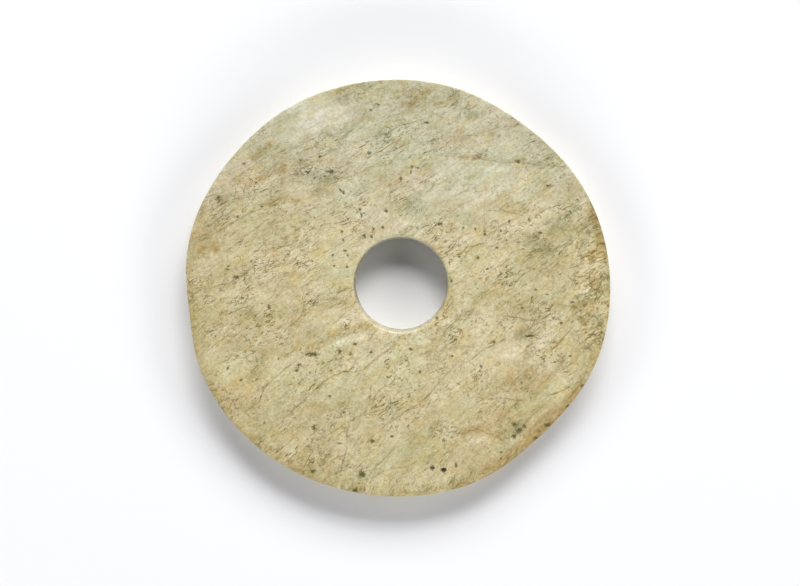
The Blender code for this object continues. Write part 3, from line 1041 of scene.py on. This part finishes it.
# %% Mottling, streaks and grain
clouds = drawn_out(52.0, 24.0, 3.0)
mottling = drawn_out(18.0, 8.0, 11.0, 3.0)
streaks = drawn_out(7.0, 1.9, 23.0, 3.0, 0.6)
blotches = even(4.6, 13.0, 3.0)
grain = even(1.5, 5.0, 2.0)
fine_grain = even(0.62, 9.0, 1.0)
from_middle = jade.node("ShaderNodeVectorMath", {0: here}, "Value", operation="LENGTH")
cleaner = jade.ramp(from_middle, 35.0, 95.0, 0.10, 0.0)
TONES = (
    (clouds, 0.50),
    (mottling, 0.80),
    (streaks, 0.58),
    (blotches, 0.52),
    (grain, 0.72),
    (fine_grain, 0.70),
)
MIDDLE_TONE = 0.58
light_or_dark_here, rough_part, wall_here = jade.on_mesh("shade")
tone = jade.total((cleaner, 1.0), (light_or_dark_here, 1.0), *TONES)
tone = jade.math("ADD", tone, MIDDLE_TONE - 0.5 * sum(weight for _, weight in TONES))
colour = jade.blend(tone, OLIVE, CREAM)
greener = jade.ramp(drawn_out(26.0, 16.0, 131.0, 3.0), 0.46, 0.66)
earthier = jade.ramp(drawn_out(10.0, 5.5, 147.0, 3.0), 0.48, 0.68)
colour = jade.tint(greener, colour, MOSS_TINT)
colour = jade.tint(earthier, colour, EARTH_TINT)
warm_here, bore_shade_here = jade.on_mesh("hue")[:2]
colour = jade.tint(jade.math("MAXIMUM", warm_here, 0.0), colour, WARM_TINT)
leafy_here = jade.math("MULTIPLY", jade.math("MINIMUM", warm_here, 0.0), -1.0)
colour = jade.tint(leafy_here, colour, LEAF_TINT)

# %% [markdown]
# The face is full of hairlines that break off and start again. A noise that passes its middle makes
# such a line for free, but it gets wide where the noise is flat. So the noise is read twice, a hair
# apart, and the distance from its middle is divided by how much it changed, which keeps every line
# thin.

# %% One thin line
HAIR = 0.28
LEAST_CHANGE = 0.0015
slope_here, flaking_here, calm_here = jade.on_mesh("wear")
green_here, brown_here, pale_and_highlight_here = jade.on_mesh("stain_and_highlight")
lively = jade.math("ADD", jade.total((calm_here, -0.70), (rough_part, 0.7)), 0.82)


def lines_in(noise_at, shown):
    """Lines of even width where noise passes its middle steeply, as strong as shown says."""
    waves, beside_them = noise_at(0.0), noise_at(HAIR)
    slope = jade.math("ABSOLUTE", jade.math("SUBTRACT", beside_them, waves))
    off_line = jade.math("ABSOLUTE", jade.math("SUBTRACT", waves, 0.5))
    off_line = jade.math("DIVIDE", off_line, jade.math("ADD", slope, LEAST_CHANGE))
    return jade.math("MULTIPLY", jade.ramp(off_line, 0.2, 1.15, 1.0, 0.0), shown)


def hairlines(along, across, seed, gap, from_level, to_level):
    """Cracks along the layers, broken off wherever noise with waves of the gap's length is low."""
    shown = jade.ramp(drawn_out(1.6 * gap, gap, seed + 40.0), from_level, to_level)
    return lines_in(lambda aside: drawn_out(along, across, seed, 3.0, aside=aside), shown)


def curls(size, seed, from_level, to_level):
    """Short curled marks that follow no layer."""
    shown = jade.ramp(even(0.9 * size, seed + 40.0), from_level, to_level)
    return lines_in(lambda aside: even(size, seed, 2.0, aside=aside), shown)


# %% [markdown]
# The hairlines come in three lengths along the layers, and among them lie curls and flecks that follow
# no layer. None is even over the stone: they gather in clusters and leave quiet ground between.

# %% Fine cracks and curls
rough_here = jade.ramp(even(24.0, 163.0, 3.0), 0.40, 0.62, 0.25, 1.0)
wide_cracks = hairlines(24.0, 6.0, 61.0, 6.0, 0.51, 0.58)
middle_cracks = hairlines(11.0, 3.2, 71.0, 3.0, 0.51, 0.59)
small_cracks = hairlines(5.0, 1.8, 83.0, 1.8, 0.51, 0.60)
small_curls = jade.product(curls(2.6, 89.0, 0.51, 0.60), rough_here)
flecks = jade.product(jade.ramp(drawn_out(2.1, 1.0, 97.0, 2.0), 0.62, 0.71), rough_here)
fine_lines = jade.total(
    (wide_cracks, 0.40),
    (middle_cracks, 0.46),
    (small_cracks, 0.52),
    (small_curls, 0.74),
    (flecks, 0.76),
)
clustered = jade.ramp(even(15.0, 171.0, 3.0), 0.38, 0.64, 0.50, 1.45)
fine_lines = jade.product(fine_lines, lively, clustered)

# %% [markdown]
# Tiny grains of dark mineral are scattered like pepper. One grain sits in some cells of a loose net,
# each with its own size and strength, because a plain grid of dots would show at once.

# %% Specks and pepper
def dots(cell, seed, picked_from, largest, edge):
    """Small dark dots and dashes in some cells of a loose net, each of its own size and strength."""
    finer = 2.6 / cell
    shaken = jade.noise(jade.place(here, (finer, finer, finer), seed), 2.0, 0.6, "Color")
    loose = jade.place(layers, (0.75 / cell, 1.1 / cell, 1.1 / cell), seed)
    loose = jade.bent(loose, shaken, (0.8, 0.8, 0.8))
    net = jade.node("ShaderNodeTexVoronoi", {"Vector": loose, "Scale": 1.0}, "Distance").node
    pick, strength = jade.split(net.outputs["Color"])[:2]
    size = jade.ramp(pick, picked_from, 1.0, 0.0, largest)
    past_edge = jade.math("SUBTRACT", net.outputs["Distance"], size)
    dot = jade.ramp(past_edge, -edge, 0.3 * edge, 1.0, 0.0)
    is_there = jade.ramp(size, 0.0, 0.25 * largest)
    return jade.product(dot, is_there, jade.ramp(strength, 0.0, 1.0, 0.35, 1.0))


speckled = jade.ramp(even(19.0, 47.0, 2.0), 0.44, 0.62, 0.15, 1.0)
specks = jade.product(dots(2.7, 31.0, 0.55, 0.27, 0.12), speckled, lively, 0.9)
peppered = jade.ramp(even(9.0, 43.0), 0.36, 0.64, 0.30, 1.0)
pepper = jade.product(dots(1.4, 37.0, 0.42, 0.30, 0.16), peppered, lively, 0.76)

# %% [markdown]
# Where weathering is deepest the stone splits into small plates, each caught by the light in its own
# way. The bump tilts each plate a little, and painted light and shade add to it: each plate's colour is
# made a little lighter or darker. Cells of a Voronoi texture, drawn out along the layers and bent, give
# the plates and the seams between them, and the mesh has the larger steps already.

# %% Plates where the stone is breaking up
PLATE_LENGTH, PLATE_WIDTH = 5.0, 2.2
plate_size = (1 / PLATE_LENGTH, 1 / PLATE_WIDTH, 1 / PLATE_WIDTH)
plate_place = jade.place(layers, plate_size, 7.0)
plate_bend = jade.noise(jade.place(here, (0.55, 0.55, 0.55)), 3.0, 0.55, "Color")
plate_inputs = {"Vector": jade.bent(plate_place, plate_bend, (1.3, 1.6, 0.0)), "Scale": 1.0}
seams = jade.node("ShaderNodeTexVoronoi", plate_inputs, "Distance", feature="DISTANCE_TO_EDGE")
plates = jade.node("ShaderNodeTexVoronoi", plate_inputs, "Color")
plate_tone = jade.split(plates)[0]
broken = jade.ramp(even(26.0, 151.0, 3.0), 0.52, 0.70, 0.10, 0.55)
broken = jade.math("MAXIMUM", jade.product(broken, lively), flaking_here)
seam_width = jade.ramp(even(3.0, 157.0), 0.38, 0.62, 0.02, 0.15)
seam_share = jade.ramp(jade.math("DIVIDE", seams, seam_width), 0.2, 1.0, 1.0, 0.0)
seam_lines = jade.product(seam_share, broken)
# Painted light and shade: each plate's colour a little lighter or darker, on top of the bump's real
# tilt.
plate_light_level = jade.ramp(plate_tone, 0.0, 1.0, 0.86, 1.07)
plate_light_and_shade = jade.node("ShaderNodeCombineColor", {0: plate_light_level, 1: plate_light_level, 2: plate_light_level})
colour = jade.tint(jade.math("MULTIPLY", broken, 0.8), colour, plate_light_and_shade)

# %% [markdown]
# The stains and painted highlights on the mesh have smooth edges. Multiplying them by noise before they
# are cut off tears them into patches and threads, which is how colour creeps into a stone that is full
# of cracks.

# %% Stains and painted highlights
feathers = drawn_out(6.0, 1.7, 53.0, 3.0, 0.6)
ragged = jade.total((feathers, 1.0), (even(1.8, 55.0, 3.0, 0.6), 0.7), (streaks, 0.7))


def torn(share, strength):
    """A soft patch of colour, real or a painted highlight, with its edge torn by noise."""
    share = jade.product(share, jade.ramp(ragged, 0.93, 1.47, 0.2, 1.8))
    return jade.ramp(share, 0.0, 0.95, 0.0, strength)


# Pale chalky patches and painted highlights, whitened.
colour = jade.tint(torn(pale_and_highlight_here, 0.85), colour, CHALK_AND_HIGHLIGHT_TINT)
colour = jade.tint(torn(brown_here, 0.95), colour, RUST_TINT)
colour = jade.tint(torn(green_here, 0.95), colour, GREEN_TINT)
colour = jade.tint(torn(slope_here, 0.62), colour, RUST_TINT)
colour = jade.tint(jade.math("MULTIPLY", flaking_here, 0.6), colour, FLAKE_TINT)
# Painted shade: the walls darker and cooler, and the hole's lower wall darker and bluer still.
colour = jade.tint(wall_here, colour, WALL_SHADE_TINT)
colour = jade.tint(bore_shade_here, colour, BORE_SHADE_TINT)
dark_lines = jade.math("MINIMUM", jade.total((fine_lines, 1.0), (seam_lines, 0.6)), 0.85)
colour = jade.blend(dark_lines, colour, CRACK)
colour = jade.blend(jade.math("MAXIMUM", specks, pepper), colour, SPECK)

# %% [markdown]
# Each long crack is drawn where the distance kept on the mesh is small. A little noise is added to the
# distance first, so the line shivers as a real crack does, and its width and strength change on the way.

# %% The long cracks and the dark spots
WOBBLE_MIDDLE = 1.15
wobble = jade.total((even(3.2, 57.0, 3.0), 1.6), (even(1.1, 59.0, 1.0), 0.7))
crack_width = jade.ramp(even(6.0, 67.0, 2.0), 0.35, 0.65, 0.17, 0.36)
patchy = jade.ramp(even(3.4, 69.0, 2.0), 0.36, 0.60, 0.30, 1.0)
crack_depth = 0.0
for name in ("crack_a", "crack_b"):
    offset, strength, brown_share = jade.on_mesh(name)
    from_line = jade.math("ADD", offset, jade.math("SUBTRACT", wobble, WOBBLE_MIDDLE))
    off_line = jade.math("ABSOLUTE", from_line)
    line = jade.ramp(jade.math("DIVIDE", off_line, crack_width), 0.2, 1.0, 1.0, 0.0)
    halo = jade.ramp(off_line, 0.0, 1.2, 0.12, 0.0)
    line = jade.product(line, strength, patchy)
    colour = jade.blend(jade.product(halo, strength), colour, BROWN_CRACK)
    crack_colour = jade.blend(brown_share, CRACK, BROWN_CRACK)
    colour = jade.blend(jade.math("MULTIPLY", line, 0.74), colour, crack_colour)
    crack_depth = jade.math("MAXIMUM", crack_depth, line)

spot_across, spot_up, spot_strength = jade.on_mesh("spot")
tremor = jade.noise(jade.place(here, (1.1, 1.1, 1.1)), 2.0, 0.6, "Color")
ragged_x, ragged_y = jade.split(tremor)[:2]
spot_across = jade.total((ragged_x, 2.4), (spot_across, 1.0))
spot_up = jade.total((ragged_y, 2.4), (spot_up, 1.0))
spot_place = jade.node("ShaderNodeCombineXYZ", {0: spot_across, 1: spot_up})
spot_inputs = {0: spot_place, 1: (1.2, 1.2, 0.0)}
from_spot = jade.node("ShaderNodeVectorMath", spot_inputs, "Value", operation="DISTANCE")
spots = jade.product(jade.ramp(from_spot, 0.30, 1.20, 1.0, 0.0), spot_strength)
spot_shade = jade.math("MINIMUM", jade.math("MULTIPLY", spots, 0.86), 0.9)
colour = jade.blend(spot_shade, colour, SPECK)
colour = jade.blend(jade.ramp(spots, 1.0, 1.6, 0.0, 0.85), colour, PIT_BOTTOM)

# %% [markdown]
# Towards the top of the face the stone turns from cream to a cooler grey green, too slowly for any
# patch to show. A wide, soft change of colour does that, and the relief follows with the polish and the
# fine roughness under it.

# %% The cooler end, the polish and the fine relief
coolness = jade.ramp(jade.total((face_y, 1.0), (clouds, 60.0)), 40.0, 100.0)
colour = jade.tint(coolness, colour, COOL_TINT)
jade.feed(jade.shader.inputs["Base Color"], colour)

roughness = jade.total((mottling, 0.20), (fine_lines, 0.25), (flaking_here, 0.12))
jade.feed(jade.shader.inputs["Roughness"], jade.math("ADD", roughness, 0.30))

plate_rise = jade.product(jade.math("SUBTRACT", plate_tone, 0.5), broken)
height = jade.total(
    (crack_depth, -0.06),
    (fine_lines, -0.045),
    (seam_lines, -0.06),
    (specks, -0.05),
    (pepper, -0.03),
    (spots, -0.06),
    (plate_rise, 0.07),
    (streaks, 0.05),
    (grain, 0.03),
    (fine_grain, 0.012),
)
ridges = jade.math("ABSOLUTE", jade.math("SUBTRACT", drawn_out(3.6, 1.5, 101.0, 3.0, 0.6), 0.5))
height = jade.total((jade.product(ridges, flaking_here), 0.4), (height, 1.0))
normal = jade.node("ShaderNodeBump", {"Strength": 1.0, "Distance": 0.001, "Height": height})
jade.feed(jade.shader.inputs["Normal"], normal)
print("jade:", len(jade.tree.nodes), "nodes")
stone.data.materials.append(jade.material)

# %% [markdown]
# The disc lies on plain pale paper, much wider than the view, so no edge of it shows. It reflects almost
# no light like a mirror, and its colour is nearly white, because the stone's shadow should be the only
# thing on it.

# %% The floor
FLOOR_COLOUR = (0.915, 0.915, 0.92, 1.0)
FLOOR_WIDTH = 6.0
bpy.ops.object.select_all(action="DESELECT")
bpy.ops.mesh.primitive_plane_add(size=FLOOR_WIDTH)
floor = bpy.context.object
floor.name = "floor"
paper = Recipe("pale_paper")
paper.shader.inputs["Base Color"].default_value = FLOOR_COLOUR
paper.shader.inputs["Roughness"].default_value = 0.9
paper.shader.inputs["Specular IOR Level"].default_value = 0.1
floor.data.materials.append(paper.material)

# %% [markdown]
# The light comes mostly from a long softbox beyond the top of the picture. Softer ones at the front
# and sides and a faint blue room fill the shadows, as white walls do in a studio.

# %% Soft light
ROOM_COLOUR = (0.75, 0.88, 1.30, 1.0)
ROOM_LIGHT = 0.05
world = bpy.data.worlds.new("studio")
bpy.context.scene.world = world
world.use_nodes = True
room = world.node_tree.nodes["Background"]
room.inputs["Color"].default_value = ROOM_COLOUR
room.inputs["Strength"].default_value = ROOM_LIGHT

LIGHT_DISTANCE = 6.0
SOFTBOXES = (
    ("key_softbox", 26.0, 82.0, 8.0, 1.6, 324.0),
    ("key_core", 38.0, 82.0, 4.0, 1.4, 221.0),
    ("front_strip", 14.0, 270.0, 8.0, 1.2, 300.0),
    ("left_softbox", 25.0, 180.0, 5.0, 1.6, 103.0),
    ("right_softbox", 25.0, 0.0, 5.0, 1.6, 113.0),
)
for name, elevation, bearing, width, tall, power in SOFTBOXES:
    bpy.ops.object.light_add(type="AREA")
    softbox = bpy.context.object
    softbox.name = name
    softbox.data.shape = "RECTANGLE"
    softbox.data.size = width
    softbox.data.size_y = tall
    softbox.data.energy = power
    softbox.visible_camera = False
    up, turn = math.radians(elevation), math.radians(bearing)
    way = Vector((math.cos(up) * math.cos(turn), math.cos(up) * math.sin(turn), math.sin(up)))
    softbox.location = LIGHT_DISTANCE * way
    softbox.rotation_euler = (-way).to_track_quat("-Z", "Y").to_euler()

# %% [markdown]
# The camera looks straight down from far enough that the walls don't show. Its lens follows from the
# height and from how wide the photograph's frame is on the face.

# %% The camera
CAMERA_HEIGHT = 1.3
FACE_HEIGHT = 0.010
camera = bpy.data.objects.new("camera", bpy.data.cameras.new("camera"))
bpy.context.scene.collection.objects.link(camera)
bpy.context.scene.camera = camera
view_width = PHOTO_SIZE[0] * PIXEL * MM
camera.data.lens = camera.data.sensor_width * (CAMERA_HEIGHT - FACE_HEIGHT) / view_width
aim_x, aim_y = on_face(PHOTO_SIZE[0] / 2, PHOTO_SIZE[1] / 2)
camera.location = (aim_x * MM, aim_y * MM, CAMERA_HEIGHT)
bpy.context.scene.view_settings.view_transform = "Standard"
print("lens", round(camera.data.lens, 1), "mm")

# %% [markdown]
# The stone's skin is laid out flat in a UV map. Two round islands do it without a seam on either face:
# one holds the upper face with the upper half of both walls folded out round it, and a smaller one holds
# the plainer underside with the lower halves.

# %% The stone's skin laid out flat
HALF_HEIGHT = 6.5
ISLAND_REACH = 106.8
UPPER_ISLAND = (0.354, 0.646, 0.3500)
LOWER_ISLAND = (0.7685, 0.2315, 0.2275)
points = points_of(stone)
x, y, z = points.T
outwards = np.where(near_bore(x, y)[:, None], BORE_CENTRE - points[:, :2], points[:, :2])
outwards /= np.hypot(*outwards.T)[:, None]
upper_layout = points[:, :2] + outwards * np.clip(slab_at(x, y) - z, 0.0, HALF_HEIGHT)[:, None]
lower_layout = (points[:, :2] + outwards * np.clip(z, 0.0, HALF_HEIGHT)[:, None]) * (-1.0, 1.0)

# %% [markdown]
# A face goes to one island whole, by the height of its middle. The layout is written as the only UV
# map, so that nothing else can be picked for the bake.

# %% Which island each face goes to
faces = stone.data.polygons
centres = np.empty(len(faces) * 3, np.float32)
faces.foreach_get("center", centres)
corner_counts = np.empty(len(faces), np.int32)
faces.foreach_get("loop_total", corner_counts)
corner_points = np.empty(len(stone.data.loops), np.int32)
stone.data.loops.foreach_get("vertex_index", corner_points)
is_upper = np.repeat(centres[2::3] / MM > HALF_HEIGHT, corner_counts)[:, None]
islands = ((upper_layout, UPPER_ISLAND), (lower_layout, LOWER_ISLAND))
layouts = []
for layout, (middle_u, middle_v, radius) in islands:
    layouts.append(layout[corner_points] * radius / ISLAND_REACH + (middle_u, middle_v))
while stone.data.uv_layers:
    stone.data.uv_layers.remove(stone.data.uv_layers[0])
skin = stone.data.uv_layers.new(name="OFBake")
skin.data.foreach_set("uv", np.where(is_upper, *layouts).astype(np.float32).ravel())
print("triangles:", int((corner_counts - 2).sum()))

# %% [markdown]
# Shading smooth hides the facets of the net, and the relief keeps its own form. The stone rides on the
# root body and the solid is hidden, so the stone replaces it, and the two boxes are printed so that they
# can be compared.

# %% The finished stone stands in for the CAD solid
edit(stone)
bpy.ops.mesh.faces_shade_smooth()
done()
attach(stone, "root")
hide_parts("jade_disc")
